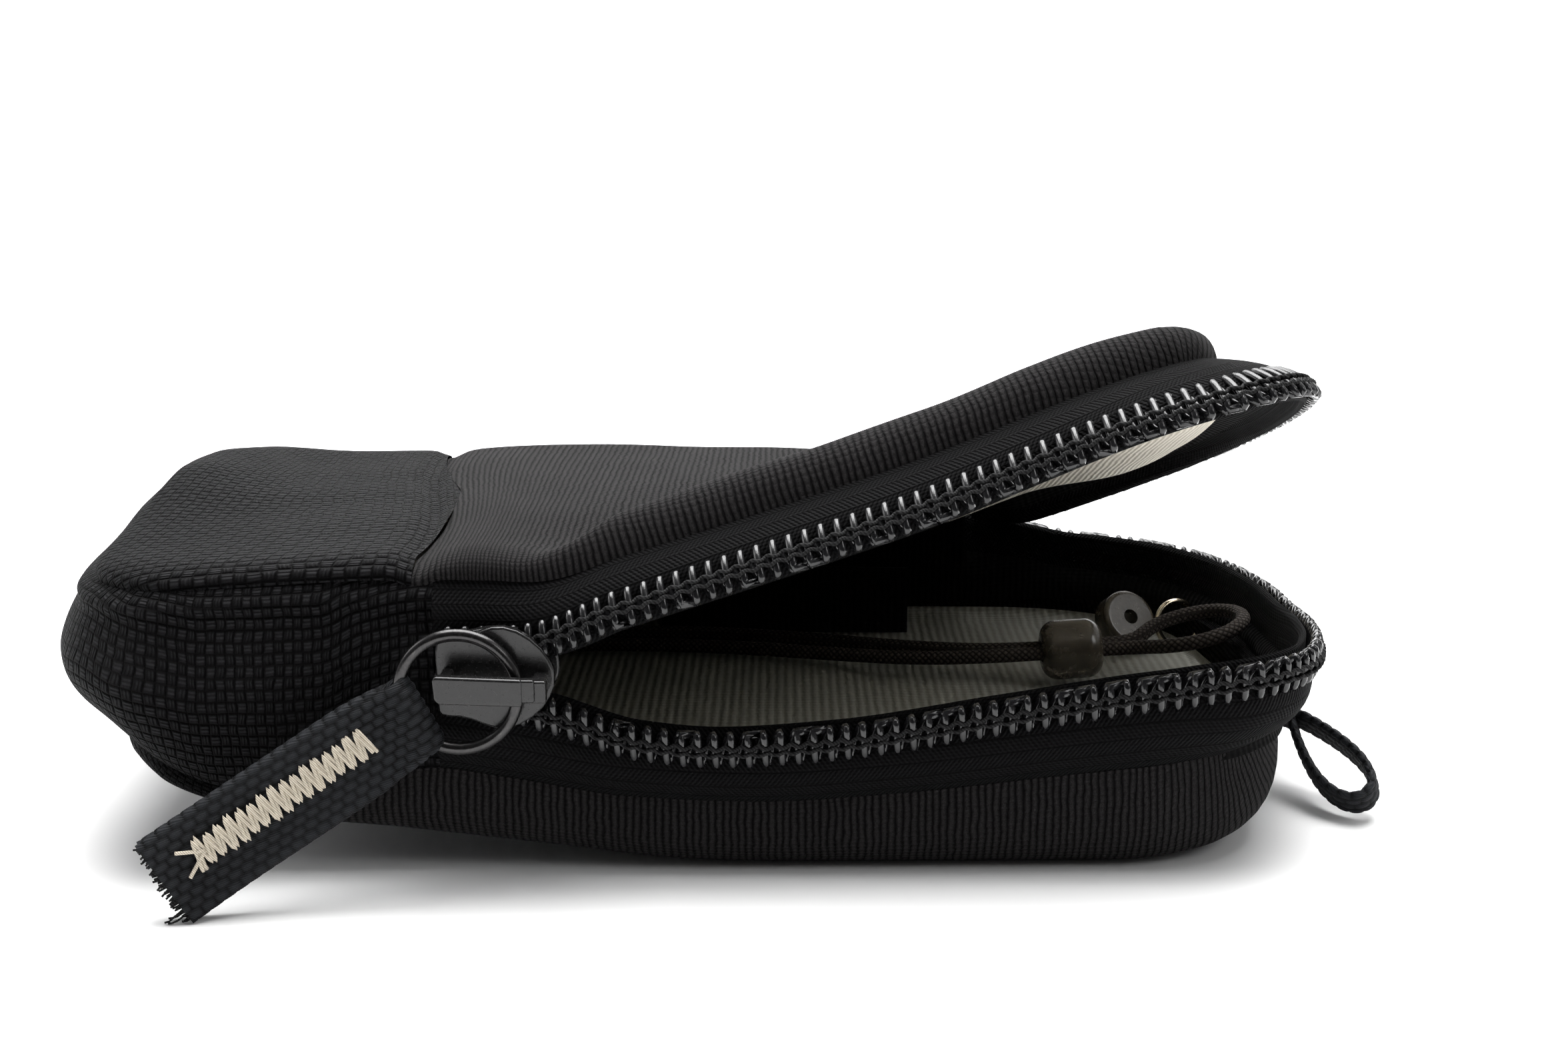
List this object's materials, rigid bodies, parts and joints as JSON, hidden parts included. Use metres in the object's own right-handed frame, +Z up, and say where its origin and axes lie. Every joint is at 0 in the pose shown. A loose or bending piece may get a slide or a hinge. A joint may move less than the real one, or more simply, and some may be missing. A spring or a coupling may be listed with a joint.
{
  "type": "padded zip pouch",
  "caption": "Small soft padded zip pouch with a peeled-back lid, a tethered cord inside, a webbing zip pull and a hanging loop.",
  "frame": {"origin": "middle of the footprint, on the surface the pouch lies on", "axes": "+X along the pouch from its closed end to its rounded mouth, +Y to the back, +Z up"},
  "size_m": [0.173, 0.1073, 0.0669],
  "materials": {
    "knit_fabric": "ribbed stretch knit, matte",
    "nylon_weave": "coarse basket weave nylon, slight sheen",
    "zip_tape": "herringbone woven tape",
    "coil_nylon": "glossy moulded coil",
    "foam": "closed-cell foam, hidden",
    "grey_lining": "light grey ribbed lining",
    "cream_lining": "off-white brushed lining",
    "black_lining": "black side lining",
    "black_metal": "black lacquered zip alloy",
    "wire_metal": "black nickel plated wire",
    "bright_metal": "plated wire",
    "webbing": "coarse folded webbing",
    "tack_thread": "ivory bartack thread",
    "cord_braid": "braided dark brown cord",
    "smoked_plastic": "smoked translucent bead"
  },
  "bodies": {
    "base": {"bottom_foam": "foam", "bottom_knit_panel": "knit_fabric", "bottom_lining": "grey_lining", "bottom_nylon_panel": "nylon_weave", "cord_anchor": "webbing", "cord_disc": "smoked_plastic", "divider": "black_lining", "end_gusset": "nylon_weave", "lower_coil": "coil_nylon", "lower_wall_foam": "black_lining", "lower_zip_tape": "zip_tape", "small_ring": "bright_metal", "tether_cord": "cord_braid", "top_foam": "foam", "top_knit_fixed": "knit_fabric", "top_lining": "cream_lining", "top_nylon_panel": "nylon_weave", "upper_coil_fixed": "coil_nylon", "upper_tape_fixed": "zip_tape", "zip_back_stop": "webbing"},
    "lid": {"lid_knit_panel": "knit_fabric", "lid_foam": "foam", "lid_lining": "cream_lining", "upper_zip_tape": "zip_tape", "upper_wall_foam": "black_lining", "upper_coil": "coil_nylon"},
    "slider": {"slider_body": "black_metal", "slider_bridge": "black_metal"},
    "ring": {"pull_ring": "wire_metal"},
    "pull": {"pull_webbing": "webbing", "pull_bartack": "tack_thread"},
    "hang_loop": {"hang_loop": "webbing"},
    "bead": {"cord_bead": "smoked_plastic"}
  },
  "joints": [
    {"name": "lid_fold", "type": "hinge", "parent": "base", "child": "lid", "pos_m": [-0.026, -0.045, 0.039], "axis": [-0.669, -0.7433, 0], "range_deg": [-25, 60]},
    {"name": "slider_travel", "type": "slide", "parent": "base", "child": "slider", "axis": [1, 0, 0], "range_m": [0, 0.004]},
    {"name": "ring_swing", "type": "hinge", "parent": "slider", "child": "ring", "pos_m": [-0.0226, -0.04995, 0.0252], "axis": [0, 0, 1], "range_deg": [0, 60]},
    {"name": "pull_swing", "type": "hinge", "parent": "ring", "child": "pull", "pos_m": [-0.03632, -0.05013, 0.02202], "axis": [-0.4729, 0, 0.8811], "range_deg": [-3, 60]},
    {"name": "bead_slide", "type": "slide", "parent": "base", "child": "bead", "axis": [0.9976, 0, 0.0698], "range_m": [-0.002, 0.002]},
    {"name": "loop_swing", "type": "hinge", "parent": "base", "child": "hang_loop", "pos_m": [0.0833, -0.0155, 0.0094], "axis": [0.93, 0.3677, 0], "range_deg": [-45, 0]}
  ]
}
